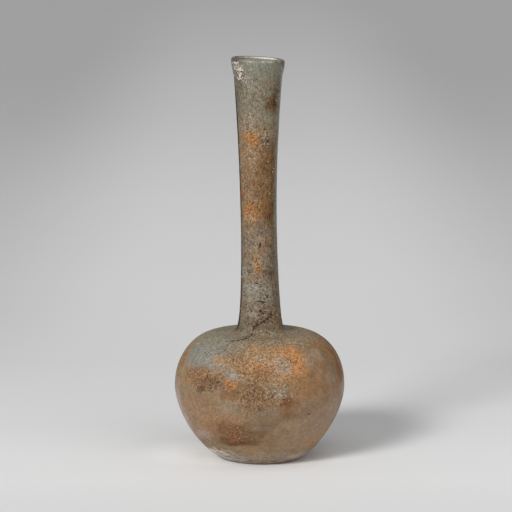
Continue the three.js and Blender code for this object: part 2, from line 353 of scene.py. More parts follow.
# Soft patches of colour, painted over each other in this order
TONE_PATCHES = [
    ("sage", 0, 82, 90, 11, 0.7), ("sage", -62, 77, 22, 10, 0.8), ("tan", 6, 76, 15, 8, 0.5),
    ("tan", 42, 75, 14, 6, 0.6), ("sage", 60, 74, 5, 3.4, 0.7), ("grey", 62, 82, 10, 5, 0.8),
    ("amber", 2, 62, 22, 11, 0.85), ("haze", -50, 63, 15, 8, 0.95), ("teal", -60, 62, 8, 5, 0.6),
    ("haze", -32, 70, 9, 4, 0.7), ("mist", -44, 61, 5, 4, 0.2), ("stone", -24, 66, 8, 6, 0.6),
    ("amber", -33, 62.5, 4, 2.2, 0.9), ("walnut", -19, 62.5, 5, 2.6, 0.7), ("ochre", 3, 60, 7, 5, 0.7),
    ("orange", 25, 68.5, 7, 3.4, 0.7, 10), ("orange", 31, 60, 5, 7, 0.95),
    ("brown", 27, 53.5, 6, 3, 0.7), ("fog", 16, 60, 4.5, 5, 0.95), ("grey", 3, 64.5, 3.2, 1.8, 0.8),
    ("fog", 41, 61, 3.5, 4, 0.95), ("earth", -4, 56.5, 13, 3, 0.55), ("walnut", -45, 56.5, 7, 2.6, 0.6),
    ("brown", 50, 57, 10, 7, 0.65), ("brown", 66, 60, 13, 14, 0.9), ("brown", 42, 49, 15, 7, 0.9),
    ("film", 55, 43, 12, 4, 0.7), ("fog", 50, 64, 4, 3, 0.7), ("olive", 59, 60, 3, 5, 0.55),
    ("film", 70, 75, 4, 2, 0.6, -20), ("film", 73, 68, 3, 3, 0.6), ("red", 74, 62, 2.4, 3, 0.7),
    ("rust", 74, 53, 2.6, 6, 0.9), ("blush", 82, 44.5, 7, 4.4, 0.75), ("fog", 58, 51, 5, 3.4, 0.6),
    ("beige", 46, 55, 3, 2.4, 0.6), ("walnut", 40, 55, 3, 2, 0.6), ("brown", 34, 49, 2.6, 1.6, 0.6),
    ("clay", 46, 58, 2.4, 1.4, 0.5), ("grey", 62, 53.5, 2.4, 4, 0.6), ("amber", -62, 52, 6, 6, 0.6),
    ("walnut", -42, 52.5, 12, 4.6, 0.9), ("umber", -35, 51.6, 4.2, 1.5, 0.6),
    ("umber", -43, 47.8, 2.8, 1.5, 0.8, 20), ("ochre", -77, 59, 3.4, 5.5, 0.7),
    ("amber", -72, 51, 4, 4, 0.8), ("rust", -20, 46.5, 5, 3, 0.7), ("earth", -8, 49, 9, 5, 0.75),
    ("slate", -21, 56, 4, 2.2, 0.8), ("copper", -20, 51.3, 3.4, 1.7, 0.9),
    ("walnut", 0, 43, 10, 7, 0.7), ("clay", 14, 48, 7, 4.2, 0.8), ("haze", 13, 47.6, 4, 2.6, 0.35),
    ("rust", 19, 40.5, 5, 5.5, 0.95), ("bark", 19, 40.5, 3, 4, 0.4), ("film", -46, 34, 16, 11, 0.9),
    ("clay", -40, 43, 8, 4, 0.7), ("blush", -79, 30, 8, 17, 1), ("mist", -83, 24, 5, 12, 0.4),
    ("grey", -21, 40, 4.5, 4.5, 0.7), ("amber", -9, 37, 3, 5, 0.3), ("brown", -30, 28, 12, 7, 0.6, 20),
    ("bark", -17, 25.5, 11, 6.2, 0.9, -12), ("walnut", -36, 22, 6, 3, 0.6, -20),
    ("peat", -21, 20.8, 7.4, 2.4, 0.9), ("red", -22, 23.6, 2.4, 2.6, 0.8), ("earth", 8, 26, 11, 5, 0.8),
    ("slate", 6, 32, 5, 3, 0.45), ("grey", 4, 37, 7, 4, 0.6), ("beige", 52, 26, 26, 16, 0.85),
    ("beige", 62, 36, 10, 5, 0.6), ("walnut", 33, 37.5, 6, 3, 0.5, 25),
    ("sand", 58, 22, 12, 4, 0.9, 28), ("earth", 7, 34.5, 13, 2.8, 0.45, 8),
    # The pale patches at turns -46 and -42 are painted light, where light comes through the heel
    ("amber", -8, 16.5, 11, 2.4, 0.9), ("pale", -46, 9, 12, 4.5, 0.9), ("pale", -42, 7, 7, 2, 0.8),
    ("umber", -36, 12.5, 5, 0.8, 0.5, -20), ("fog", 8, 10, 22, 4, 0.9), ("blush", 10, 3, 40, 2.4, 0.7),
    ("sand", 39, 8, 3.5, 1.6, 0.8), ("shade", 0, 92.5, 60, 3.5, 0.7), ("stone", 0, 118, 60, 24, 0.8),
    ("clay", 0, 165, 60, 24, 0.7), ("moss", 0, 205, 60, 17, 0.9), ("shade", 50, 120, 3.5, 30, 0.45),
    ("earth", 50, 165, 4.5, 30, 0.6), ("haze", -4, 108, 9, 4.5, 0.5), ("mist", -34, 110, 4, 2.6, 0.8),
    # The umber band at turn -100 is painted shade that carries the neck's dark left outline round towards
    # the back
    ("haze", -62, 117, 3, 3, 0.7), ("umber", -100, 150, 3.4, 62, 0.6), ("mist", -26, 97.2, 4, 1.4, 0.6),
    ("umber", -20, 85, 2.2, 5, 0.45), ("shade", -60, 87, 1.6, 5, 0.5), ("clay", 50, 93, 3, 7, 0.5),
    ("olive", -52, 97, 2.4, 7, 0.4), ("film", -52, 84, 3, 2, 0.5), ("ochre", -6, 119.5, 2.6, 3.6, 0.6),
    ("amber", -13, 124, 2.4, 5, 0.6), ("umber", 28, 117.3, 2.6, 1, 0.7),
    ("walnut", 22, 130, 2.4, 5, 0.6), ("clay", -20, 145.5, 8, 6, 0.8), ("ochre", -35, 147, 6, 4, 0.5),
    ("earth", 24, 147, 6, 7.4, 0.95), ("walnut", 18, 136, 4, 5, 0.3), ("stone", 8, 137, 5, 6, 0.5),
    ("shade", 14, 139, 4, 2.4, 0.3), ("earth", 22, 160, 5, 10, 0.8), ("earth", 32, 170, 5, 7, 0.9),
    ("peat", 42, 146, 4, 5, 0.7), ("red", -72, 155, 3, 3, 0.95), ("red", -14, 159.5, 2, 1.6, 0.5),
    ("fog", -36, 187, 5, 4, 0.5), ("grey", 46, 182, 3, 5, 0.6), ("shade", -34, 161, 3, 5, 0.35),
    ("copper", -22, 181.6, 3.5, 2.4, 0.9, -40), ("copper", -11, 178.6, 2.2, 1.4, 0.8),
    ("clay", -24, 175.5, 5, 3.6, 0.5), ("earth", 45, 198, 4, 5, 0.9), ("umber", 47, 197, 2, 1.6, 0.6),
    ("shade", 58, 208, 4, 6, 0.9), ("olive", 0, 217, 60, 5, 0.8), ("umber", -54, 212, 5, 5, 0.85),
    ("fog", -14, 198, 6, 11, 0.25), ("mist", -18, 206, 4, 3, 0.4), ("clay", 30, 208, 5, 3, 0.5),
    # The dust and sand patches at turn 52 are painted light that lifts the shaded heel on the right
    ("sage", 60, 188, 5, 6, 0.6), ("dust_and_painted_light", 52, 7.4, 10, 3, 0.7), ("sand", 52, 15.5, 9, 3, 0.45),
    ("brown", -8, 60, 8, 2.4, 0.35), ("stone", -14, 55.3, 4, 2, 0.3), ("ochre", 17, 55.2, 4, 1.8, 0.55),
    # The mist at turn -22, climb 57.2 is a painted highlight round the shine on the body
    ("mist", -22, 57.2, 2.4, 1.2, 0.6), ("blush", -54, 22.5, 8, 3.4, 0.45, 20),
    ("teal", -14, 215, 5, 5, 0.4), ("moss", 24, 214, 6, 6, 0.4), ("shade", -58, 204, 2.4, 7, 0.35),
    ("dust_and_painted_light", -32, 209, 2.4, 2, 0.45), ("mist", 76, 207, 2.6, 11, 0.5),
]

# Patches that stay sharp: painted shade over the back of the neck, painted dark outlines down the neck's
# sides, lines where the film ends, and at the lip a painted dark edge, dark corners, painted highlights
# and specks
LINE_PATCHES = [
    # The shade at turn 180 is painted shade; the lines near turns -80 and 82 are painted dark outlines of
    # the neck
    ("shade", 180, 145, 17, 56, 0.9), ("edge_shade_and_dirt", -80, 196, 1.6, 24, 0.98, 2),
    ("edge_shade_and_dirt", -82, 152, 1.5, 26, 0.96, -2), ("edge_shade_and_dirt", -79, 110, 1.6, 24, 0.96, 2),
    ("edge_shade_and_dirt", 46, 175, 0.5, 34, 0.3), ("stone", 66, 150, 1.8, 60, 0.7), ("edge_shade_and_dirt", 82, 108, 0.9, 24, 0.3),
    # At the lip: a painted dark edge along the far lip's top, and dark corners at its sides
    ("edge_shade_and_dirt", 180, 219.2, 30, 0.5, 0.8), ("edge_shade_and_dirt", -80, 217.6, 6, 3, 0.98),
    ("edge_shade_and_dirt", -58, 219, 4, 1.2, 0.6), ("edge_shade_and_dirt", -104, 219, 4, 2, 0.95), ("edge_shade_and_dirt", 78, 217.6, 4, 2.8, 0.75),
    # Painted highlights along the far lip and the front lip; the pair at climb 219.6 are a dark and a
    # white speck
    ("highlight_and_white_speck", 180, 220.7, 16, 0.3, 0.3), ("highlight_and_white_speck", 152, 220.6, 7, 0.45, 0.7),
    ("highlight_and_white_speck", 22, 218.4, 5, 0.35, 0.25), ("edge_shade_and_dirt", -14, 219.6, 1, 0.5, 0.9),
    ("highlight_and_white_speck", -24, 219.6, 1.6, 0.5, 0.8),
]

# Where the grains of each kind lie
GRIT_PATCHES = {
    "iron": [
        (0, 62, 26, 12, 0.62), (28, 62, 8, 10, 0.66), (-34, 62.5, 5, 3, 0.75), (-20, 62.5, 5, 3, 0.75),
        (-42, 53, 13, 5, 0.7), (-20, 51.3, 4, 2.2, 0.95), (-8, 54, 6, 2.4, 0.7), (45, 76, 14, 4, 0.5),
        (-18, 26, 10, 6, 0.5), (-24, 147, 7, 6, 0.75), (-26, 179, 3.8, 5, 0.72), (4, 88, 10, 6, 0.45),
        (-7, 120, 2.4, 5, 0.5), (20, 155, 6, 22, 0.4),
    ],
    "dirt": [
        (-2, 44, 11, 8, 0.8), (-6, 56, 12, 4, 0.85), (-38, 51, 12, 5, 0.8), (-10, 78, 40, 8, 0.55),
        (0, 213, 60, 14, 0.5), (2, 62, 22, 10, 0.66), (-14, 24, 12, 7, 0.6), (-36, 11, 8, 4, 0.62),
        (0, 100, 12, 14, 0.66), (28, 179, 5, 5, 0.85), (-30, 185, 5, 6, 0.6), (48, 199, 4, 6, 0.8),
        (-40, 211, 6, 5, 0.7), (0, 150, 60, 70, 0.42),
    ],
    "lime": [
        (14, 48, 7, 4.4, 0.78), (-2, 47, 12, 8, 0.66), (-20, 27, 6, 6, 0.5), (-46, 213, 5, 4, 0.85),
        (26, 180, 5, 5, 0.66), (-30, 144, 7, 5, 0.6), (-20, 174, 7, 3, 0.62), (0, 205, 14, 12, 0.55),
        (0, 62, 26, 14, 0.5), (0, 104, 12, 12, 0.55),
    ],
}

# Where the glass is clear enough to look through, has a shine, and is rough with grains
CLEAR_PATCHES = {
    "clear": [
        (0, 215, 60, 7, 0.1), (180, 214, 13, 6, 0.7), (77, 165, 2, 46, 0.3), (92, 44, 2.6, 7, 0.6, 10),
        (94, 34, 2.2, 5, 0.5, -15), (-42, 7, 10, 4, 0.35),
    ],
    "shine": [
        (-20.5, 55.8, 3.8, 2.2, 0.13), (14, 59, 6, 4, 0.6), (0, 214, 60, 9, 0.6),
        (-45, 33, 22, 14, 0.3), (50, 32, 28, 22, 0.3), (-60, 72, 20, 14, 0.3),
    ],
    "grain": [
        (0, 60, 60, 60, 0.3), (-45, 70, 24, 12, 0.6), (-40, 30, 24, 16, 0.45), (-30, 10, 26, 6, 0.6),
        (0, 90, 14, 8, 1), (62, 74, 16, 8, 0.45), (-80, 60, 6, 12, 0.5), (4, 60, 26, 14, 0.75),
        (-40, 52, 14, 6, 0.9), (-26, 63, 12, 4, 0.8), (0, 46, 16, 9, 0.8), (-17, 26, 10, 8, 0.7),
        (0, 138, 60, 46, 0.95), (0, 200, 60, 30, 0.65), (0, 212, 60, 14, 1), (0, 78, 60, 12, 0.85),
        (0, 98, 14, 12, 0.9), (0, 180, 14, 8, 0.9), (-46, 212, 6, 6, 1),
    ],
}

# The hidden back carries patches of the same kinds in places of its own
BACK_SEED = 41
BACK_PATCHES = 34
BACK_TURNS = (104, 256)
BACK_CLIMBS = (6, 212)
BACK_TILTS = (-30, 30)
BACK_STRENGTHS = (0.4, 0.85)
BACK_TONES = ("tan", "amber", "haze", "film", "brown", "blush", "grey", "beige", "rust", "fog", "orange")
BACK_GRITS = ("iron", "dirt", "dirt", "lime")
# The largest half sizes of these patches on the body, and on the neck, which begins at this climb
BODY_PATCH_SIZES = (14, 9)
NECK_PATCH_SIZES = (5, 8)
NECK_CLIMB = 84

# How soft the edges of the patches are, as shares of their half sizes
TONE_SOFT_SHARE = 0.42
LINE_SOFT_SHARE = 0.18
KIND_SOFT_SHARE = 0.6
# Noises that fray the edges and move the patches: how far, their size and their seed
FRAY_REACH = 0.32
FRAY_NOISES = ((6, 21.5), (3.5, 27.1), (2.2, 33.9))
LINE_FRAY_SHARE = 0.3
SIDEWAYS_NOISES = ((1.6, 7, 3.1), (0.8, 3, 7.7))
UPWARD_NOISES = ((1.5, 6, 11.3), (0.7, 2.6, 15.9))
LEAST_RADIUS = 4

# The curve between the levels of a picture and the linear colours of a shader
CURVE_SHIFT = 0.055
CURVE_POWER = 2.4
CURVE_START, CURVE_SLOPE = 0.04045, 12.92


def back_patches(names, seed):
    """Patches of random kinds all over the back, smaller on the neck than on the body."""
    draw = random.Random(seed)
    patches = []
    for _ in range(BACK_PATCHES):
        turn, climb = draw.uniform(*BACK_TURNS), draw.uniform(*BACK_CLIMBS)
        largest = BODY_PATCH_SIZES if climb < NECK_CLIMB else NECK_PATCH_SIZES
        across, along = (draw.uniform(0.5, 1) * most for most in largest)
        kind, tilt, strength = draw.choice(names), draw.uniform(*BACK_TILTS), draw.uniform(*BACK_STRENGTHS)
        patches.append((kind, turn, climb, across, along, strength, tilt))
    return patches


def wide_radius(climbs):
    """The outer face's radius, kept from getting too small near the middle of the underside."""
    return np.maximum(radius_at(climbs), LEAST_RADIUS)


def patch_share(turns, climbs, patch, soft, fray=0):
    """How much a patch covers each point, from 0 to 1."""
    patch = Patch(*patch)
    aside = np.radians((turns - patch.turn + 180) % 360 - 180) * wide_radius(climbs)
    up = climbs - patch.climb
    lean = math.radians(patch.tilt)
    first = (aside * math.cos(lean) + up * math.sin(lean)) / patch.across
    second = (up * math.cos(lean) - aside * math.sin(lean)) / patch.along
    return patch.strength * (1 - smooth(np.hypot(first, second) + fray, 1 - soft, 1 + soft))


def linear(levels):
    """Colours as written in a picture, turned to the linear colours that a shader takes."""
    share = np.asarray(levels, float) / 255
    bright = ((share + CURVE_SHIFT) / (1 + CURVE_SHIFT)) ** CURVE_POWER
    return np.where(share <= CURVE_START, share / CURVE_SLOPE, bright)


def rgb(*levels):
    return (*linear(levels), 1.0)


def wander(points, turns, climbs):
    """Turns and climbs moved a little by noise, so that patches get ragged edges."""
    sideways, upward = mixed_noise(points, SIDEWAYS_NOISES), mixed_noise(points, UPWARD_NOISES)
    return turns + np.degrees(sideways / wide_radius(climbs)), climbs + upward


def paint_over(colours, patch, share):
    return colours * (1 - share[:, None]) + linear(TONES[patch[0]]) * share[:, None]


def paint_tones(points, turns, climbs):
    """The colour of the weathered glass at each point, with painted shade, painted highlights and painted
    light in it.
    """
    frays = [FRAY_REACH * rough_noise(points, size, seed) for size, seed in FRAY_NOISES]
    colours = np.tile(linear(TONES[GROUND_TONE]), (len(turns), 1))
    near_turns, near_climbs = wander(points, turns, climbs)
    for number, patch in enumerate(TONE_PATCHES + back_patches(BACK_TONES, BACK_SEED)):
        share = patch_share(near_turns, near_climbs, patch, TONE_SOFT_SHARE, frays[number % len(frays)])
        colours = paint_over(colours, patch, share)
    fray = LINE_FRAY_SHARE * frays[-1]
    for patch in LINE_PATCHES:
        colours = paint_over(colours, patch, patch_share(turns, climbs, patch, LINE_SOFT_SHARE, fray))
    return colours


def paint_kinds(points, turns, climbs, groups, more=()):
    """How much of each kind there is at each point, from groups of patches by kind and more patches."""
    near_turns, near_climbs = wander(points, turns, climbs)
    found = {kind: np.zeros(len(turns)) for kind in groups}
    for patch in [(kind, *patch) for kind, group in groups.items() for patch in group] + list(more):
        share = patch_share(near_turns, near_climbs, patch, KIND_SOFT_SHARE)
        found[patch[0]] = np.maximum(found[patch[0]], share)
    return np.stack(list(found.values()), axis=1)


# The vessel

# Slow waves from the blowing and fine lumps where it is rough: heights, and their noises
WAVE_HEIGHT = 0.1
WAVE_NOISES = ((1, 22, 51), (0.5, 9, 57))
RELIEF_HEIGHT = 0.05
RELIEF_NOISE = (1.8, 63)
# The climbs over which this relief comes in, above the foot
RELIEF_CLIMBS = (1, 6)
# How clear, shiny and rough the inside is, deep in it and in the mouth
DEEP_LOOK = np.array([1, 0.5, 0])
MOUTH_LOOK = np.array([0.3, 0.3, 0.2])
MOUTH_DEPTH = 14


def relief(points, grain):
    """How far the outer face swells and dips."""
    waves = WAVE_HEIGHT * mixed_noise(points, WAVE_NOISES)
    return waves + RELIEF_HEIGHT * grain * rough_noise(points, *RELIEF_NOISE)


def vessel_outline():
    """Up the outside, over the lip and down the inside: places, ways out, climbs, and which are inside."""
    arc = np.pi * np.arange(1, LIP_ARC_STEPS) / LIP_ARC_STEPS
    lip = np.stack([LIP_RADIUS - LIP_BEAD + LIP_BEAD * np.cos(arc),
                    LIP_SIDE_HEIGHT + LIP_BEAD * np.sin(arc)], axis=1)
    inside = walk_outline(INSIDE_STEP)[1]
    places = np.vstack([outer_skin.places, lip, inside.places[::-1]])
    outs = np.vstack([outer_skin.outs, 0 * lip, 0 * inside.outs])
    over_lip = outer_skin.climbs[-1] + LIP_BEAD * arc
    climbs = np.concatenate([outer_skin.climbs, over_lip, inside.climbs[::-1]])
    within = np.arange(len(places)) >= len(outer_skin.climbs) + len(lip)
    return places, outs, climbs, within


def vessel():
    """The whole wall of glass, outside, lip and inside, as one closed turned mesh."""
    outline = vessel_outline()
    rows = len(outline[0])
    front = np.arange(-FRONT_HALF_TURN, FRONT_HALF_TURN, FRONT_TURN_STEP)
    back = np.arange(FRONT_HALF_TURN, 360 - FRONT_HALF_TURN, BACK_TURN_STEP)
    columns = np.concatenate([front, back])

    def across(values):
        """One value for each row, for all its columns. The first and the last row are single points."""
        return np.concatenate([values[:1], np.repeat(values[1:-1], len(columns), axis=0), values[-1:]])

    def along(values):
        """One value for each column, for all rows but those two."""
        return np.concatenate([[0], np.tile(values, rows - 2), [0]])
    places, outs, climbs, within = (across(values) for values in outline)
    turns, angles = along(columns), along(np.radians(columns - 90))
    round_way = np.stack([np.cos(angles), np.sin(angles)], axis=1)
    points = np.concatenate([places[:, :1] * round_way, places[:, 1:]], axis=1)
    ways = np.concatenate([outs[:, :1] * round_way, outs[:, 1:]], axis=1)
    clear = paint_kinds(points, turns, climbs, CLEAR_PATCHES)
    risen = smooth(climbs, *RELIEF_CLIMBS) * relief(points, clear[:, 2])
    points = blow(points + ways * risen[:, None])
    piece = make_mesh("flask_glass", points, turned_faces(rows, len(columns)))
    grit = paint_kinds(points, turns, climbs, GRIT_PATCHES, back_patches(BACK_GRITS, BACK_SEED + 1))
    grit[within] = 0
    top = outer_skin.climbs[-1]
    near_rim = smooth(climbs, top - MOUTH_DEPTH, top)[:, None]
    clear[within] = (DEEP_LOOK * (1 - near_rim) + MOUTH_LOOK * near_rim)[within]
    add_colours(piece, "tone", paint_tones(points, turns, climbs))
    add_colours(piece, "grit", grit)
    add_colours(piece, "clear", clear)
    return piece


# Crusts that lie on the glass: node, look, turn, climb, half sizes, tilt, thickness and cover

Crust = namedtuple("Crust", "node look turn climb across along tilt thick cover")
CRUSTS = [
    Crust("rim_lime_crust", "chalk_crust", -52, 213.6, 5.2, 4.6, 0, 0.4, 0.74),
    Crust("upper_neck_crust", "iron_crust", -24, 180.8, 4.6, 3.6, -40, 0.35, 0.7),
    Crust("pitted_neck_crust", "lime_crust", 28, 181, 3.6, 5, 0, 0.3, 0.42),
    Crust("middle_neck_crust", "iron_crust", -24, 147, 7, 5.6, 0, 0.3, 0.58),
    Crust("lower_neck_crust", "iron_crust", -8, 120.5, 2.6, 6.6, 0, 0.2, 0.34),
    Crust("front_shoulder_crust", "iron_crust", 0, 63.2, 13.5, 9, 0, 0.32, 0.46),
    Crust("right_shoulder_crust", "iron_crust", 29, 61.5, 6.4, 11.5, -10, 0.28, 0.4),
    Crust("left_body_crust", "dark_crust", -40, 52.5, 12.5, 5, 0, 0.32, 0.42),
    Crust("left_edge_crust", "ochre_crust", -76, 57, 4.4, 8.6, 0, 0.25, 0.42),
    Crust("belly_lime_crust", "lime_crust", 14, 48.2, 6.6, 3.8, 0, 0.25, 0.36),
    Crust("belly_rust_spot", "iron_crust", -19.5, 51, 3.6, 2.2, 0, 0.35, 0.8),
]
# How far a crust's grid reaches, as a share of its patch, and how far its underside lies in the glass
CRUST_REACH = 1.5
CRUST_SINK = 0.2
# What frays a crust: the size and the share of its lumps, its crumbs and its grains
LUMP_SIZE, LUMP_SHARE = 2.6, 0.42
CRUMB_SIZE, CRUMB_SHARE = 0.75, 0.6
GRAIN_SIZE, GRAIN_SHARE = 0.6, 0.35
GRAIN_LEVEL = 0.45
BARE_LEVEL = 0.62
EDGE_SLOPE = 1.6


def crust_heights(points, share, thick, cover, seed):
    """How high a granular crust stands at each point; below zero there is none."""
    ragged = LUMP_SHARE * rough_noise(points, LUMP_SIZE, seed)
    ragged = ragged + CRUMB_SHARE * rough_noise(points, CRUMB_SIZE, seed + 5, 3)
    level = share * cover + ragged - BARE_LEVEL
    grains = GRAIN_LEVEL - grain_noise(points, GRAIN_SIZE, seed + 9)
    return thick * np.clip(EDGE_SLOPE * level, -1, 1) + GRAIN_SHARE * thick * grains


def crust_patch(crust, seed):
    """The shell of a crust, on a grid that reaches somewhat beyond its patch."""
    columns, rows = (round(2 * half * CRUST_REACH / CRUST_STEP) for half in (crust.across, crust.along))
    half_turn = math.degrees(crust.across * CRUST_REACH / radius_at(crust.climb))
    turns = crust.turn + np.linspace(-half_turn, half_turn, columns)
    climbs = crust.climb + np.linspace(-crust.along, crust.along, rows) * CRUST_REACH
    climbs = climbs[climbs < outer_skin.climbs[-1]]
    all_turns, all_climbs, points = skin_grid(outer_skin, turns, climbs)
    near_turns, near_climbs = wander(points, all_turns.ravel(), all_climbs.ravel())
    share = patch_share(near_turns, near_climbs, (*crust[1:6], 1, crust.tilt), KIND_SOFT_SHARE)
    heights = crust_heights(points, share, crust.thick, crust.cover, seed)
    return crust_shell(outer_skin, turns, climbs, heights, CRUST_SINK)


# Dirt along the crack at the root of the neck: turns, climbs and half widths

CRACK = [
    (37, 99.2, 0.1), (31, 97.4, 0.3), (20, 95.4, 0.35), (12, 94.6, 0.35), (2, 93.8, 0.3),
    (-8, 92.8, 0.15), (-15, 91.4, 0.2), (-19, 89.6, 0.15), (-18, 86.5, 0), (-18.5, 83.5, 0.05),
    (-20, 80.5, 0.15), (-24, 77.6, 0.25), (-29, 76.2, 0.2), (-34, 75.4, 0.05),
]
# The crack's grid, and the thickness of its dirt
CRACK_THICK = 0.12
CRACK_SINK = 0.05
CRACK_TURNS = (-38, 42)
CRACK_CLIMBS = (73.5, 101)
CRACK_RADIUS = 14
# How ragged the dirt is, its lumps and their seed, and how wide its sloping edge is
CRACK_FRAY = 0.75
CRACK_NOISE = (0.8, 71)
CRACK_EDGE = 0.3


def crack_shell():
    """A thin ragged ridge of dirt that follows the crack."""
    turns = np.arange(*CRACK_TURNS, math.degrees(LINE_STEP / CRACK_RADIUS))
    climbs = np.arange(*CRACK_CLIMBS, LINE_STEP)
    points = skin_grid(outer_skin, turns, climbs)[2]
    inside = np.full(len(points), -np.inf)
    for (turn, climb, width), (next_turn, next_climb, next_width) in zip(CRACK, CRACK[1:]):
        start, end = over_skin(outer_skin, [turn, next_turn], [climb, next_climb], 0)
        along = end - start
        share = np.clip((points - start) @ along / (along @ along), 0, 1)
        distance = np.linalg.norm(points - start - share[:, None] * along, axis=1)
        inside = np.maximum(inside, width + (next_width - width) * share - distance)
    ragged = CRACK_FRAY * rough_noise(points, *CRACK_NOISE)
    heights = CRACK_THICK * np.clip((inside + ragged) / CRACK_EDGE, -1, 1)
    return crust_shell(outer_skin, turns, climbs, heights, CRACK_SINK)


# Single specks: a turn, a climb, half sizes across and along, and a tilt where it has one

DIRT_SPECKS = [
    (1, 103.8, 1.6, 0.35, -4), (11, 103.3, 1.5, 0.4, -10), (-6, 103.9, 0.9, 0.3),
    (22, 106.2, 0.6, 0.9, -15), (-18, 104.9, 0.6, 0.45), (-10, 112.4, 0.8, 0.35), (0, 119.9, 0.4, 0.3),
    (-32, 117.4, 0.55, 0.45), (3, 130.6, 0.65, 1.5, -10), (0, 101.3, 0.4, 0.35), (38, 129.9, 0.7, 0.9),
    (1, 99.2, 0.8, 0.5), (30, 96.1, 0.7, 0.3), (44, 97.8, 0.6, 0.3), (16, 44.6, 0.55, 0.45),
    (36, 36.1, 0.65, 0.35, -15), (-4, 44.2, 0.5, 0.4), (-1, 41.6, 0.45, 0.4), (-10, 68.4, 0.4, 0.3),
    (-33, 71.5, 0.5, 0.3), (-13, 182.8, 0.7, 0.5, 30), (-3, 177.9, 0.7, 0.3), (30, 166, 0.4, 0.3),
    (-35, 186.4, 0.4, 0.3), (48, 196.8, 0.9, 0.3), (20, 213.6, 0.35, 0.35), (28, 180, 0.9, 0.25),
    (15, 179.6, 0.5, 0.25), (-31, 183.9, 0.35, 0.3), (-44, 13.4, 1.1, 0.25, -20),
    (-34, 12.2, 0.9, 0.25, -18), (-24, 8.6, 1, 0.25, -8), (-12, 6.8, 1.1, 0.22, -4),
    (2, 6.2, 0.7, 0.22), (-48, 10.4, 2.6, 0.2, -10), (-40, 8.2, 3, 0.2, -6), (-28, 7.6, 3.2, 0.2, -4),
    (-14, 5.2, 3.4, 0.18, -2), (-32, 5.4, 3, 0.18, -4), (2, 4.4, 3, 0.18), (16, 5.6, 2.6, 0.18, 3),
    (-52, 13.2, 2.2, 0.2, -14),
]
LIME_SPECKS = [
    (-22, 192.9, 0.5, 0.45), (-20, 191.2, 0.45, 0.6, -30), (-30, 188.5, 0.4, 0.35),
    (-8, 189.2, 0.4, 0.5, 30), (-31, 209.3, 0.35, 0.8), (-26, 209.6, 0.25, 0.6, 30),
    (-46, 213.6, 0.7, 0.7), (-50, 211.2, 0.9, 0.35), (-38, 214.8, 0.5, 0.9, 20), (-54, 215.6, 0.9, 0.6),
    (-16, 208.4, 0.5, 0.4), (-9, 206, 0.6, 0.3), (-22, 175.2, 0.4, 0.4), (-14, 174, 0.5, 0.3),
    (-10, 171.9, 0.3, 0.4), (20, 181.6, 0.5, 0.3), (25, 178.4, 0.5, 0.3), (36, 181.6, 0.4, 0.3),
    (-3, 123.2, 0.9, 0.3), (-34, 141.9, 0.9, 0.25, 5), (-14, 143.3, 0.5, 0.3), (-8, 52.6, 0.4, 0.5),
    (-6, 54.4, 0.45, 0.35), (-22, 88.9, 0.5, 0.35), (10, 48.8, 0.6, 0.4, 20), (14, 46.6, 0.8, 0.4, -30),
    (-14, 27.6, 0.3, 0.5), (-16, 30.2, 0.3, 0.5, 20), (-21, 22.2, 0.35, 0.35),
]
# Clusters of strokes: a turn, a climb, reach in degrees and in millimetres, and how many
DIRT_CLUSTERS = [
    (6, 98.6, 16, 2.6, 26), (-6, 94, 22, 1.6, 16), (27, 180, 13, 4.2, 30), (-28, 186, 14, 4, 20),
    (46, 198, 10, 5, 22), (-34, 51, 8, 2.6, 24), (-2, 44, 16, 6.5, 34), (2, 62, 26, 9, 34),
    (-14, 25, 12, 5, 20), (-34, 11, 16, 3, 14), (60, 208, 12, 9, 20), (-46, 210.5, 14, 4, 40),
    (-8, 121, 14, 7, 14), (20, 112, 22, 6, 16), (0, 80, 40, 5, 40), (0, 205, 50, 10, 16),
    (0, 160, 50, 12, 24),
]
LIME_CLUSTERS = [
    (-46, 213, 12, 3.6, 26), (-28, 207, 8, 4, 12), (-24, 189, 12, 3.4, 16), (25, 179, 14, 4, 20),
    (-20, 173, 22, 3.6, 18), (14, 48, 9, 4.2, 8), (0, 104, 34, 5, 26), (-8, 53.5, 7, 2.4, 16),
    (2, 62, 28, 9, 60), (-2, 45, 16, 7, 46), (-20, 144, 28, 4, 22), (-16, 27, 7, 6, 8),
    (-33, 62, 6, 3, 12), (-20, 62, 6, 3, 12), (0, 205, 50, 12, 24), (0, 160, 50, 12, 24),
    (0, 82, 40, 6, 24),
]
# The half sizes of the strokes
STROKE_ACROSS = (0.22, 0.5)
STROKE_ALONG = (0.12, 0.24)
# Specks all round: how many, their climbs, half sizes across, shares of that along, and tilts
RANDOM_SPECKS = 240
SPECK_CLIMBS = (4, 214)
SPECK_ACROSS = (0.15, 0.38)
SPECK_ALONG_SHARES = (0.6, 1.3)
SPECK_TILTS = (-40, 40)
DIRT_SEED = 5
LIME_SEED = 8
# A speck's dome: spokes, height, and how wide and high its shoulder is
SPECK_SPOKES = 8
SPECK_RISE = 0.1
SPECK_SHOULDER_SHARES = (0.7, 0.8)


def speck_shell(turn, climb, across, along, tilt=0):
    """A low closed dome on the glass."""
    spokes = 2 * np.pi * np.arange(SPECK_SPOKES) / SPECK_SPOKES
    lean = math.radians(tilt)
    radius = float(radius_at(climb))

    def ring(share, lift):
        right, up = across * share * np.cos(spokes), along * share * np.sin(spokes)
        turned = right * math.cos(lean) - up * math.sin(lean)
        raised = right * math.sin(lean) + up * math.cos(lean)
        return over_skin(outer_skin, turn + np.degrees(turned / radius), climb + raised, lift)
    top, bottom = (over_skin(outer_skin, turn, climb, lift) for lift in (SPECK_RISE, -SPECK_RISE))
    wide, high = SPECK_SHOULDER_SHARES
    points = np.vstack([bottom, ring(1, -SPECK_RISE / 2), ring(wide, SPECK_RISE * high), top])
    return points, turned_faces(4, SPECK_SPOKES)


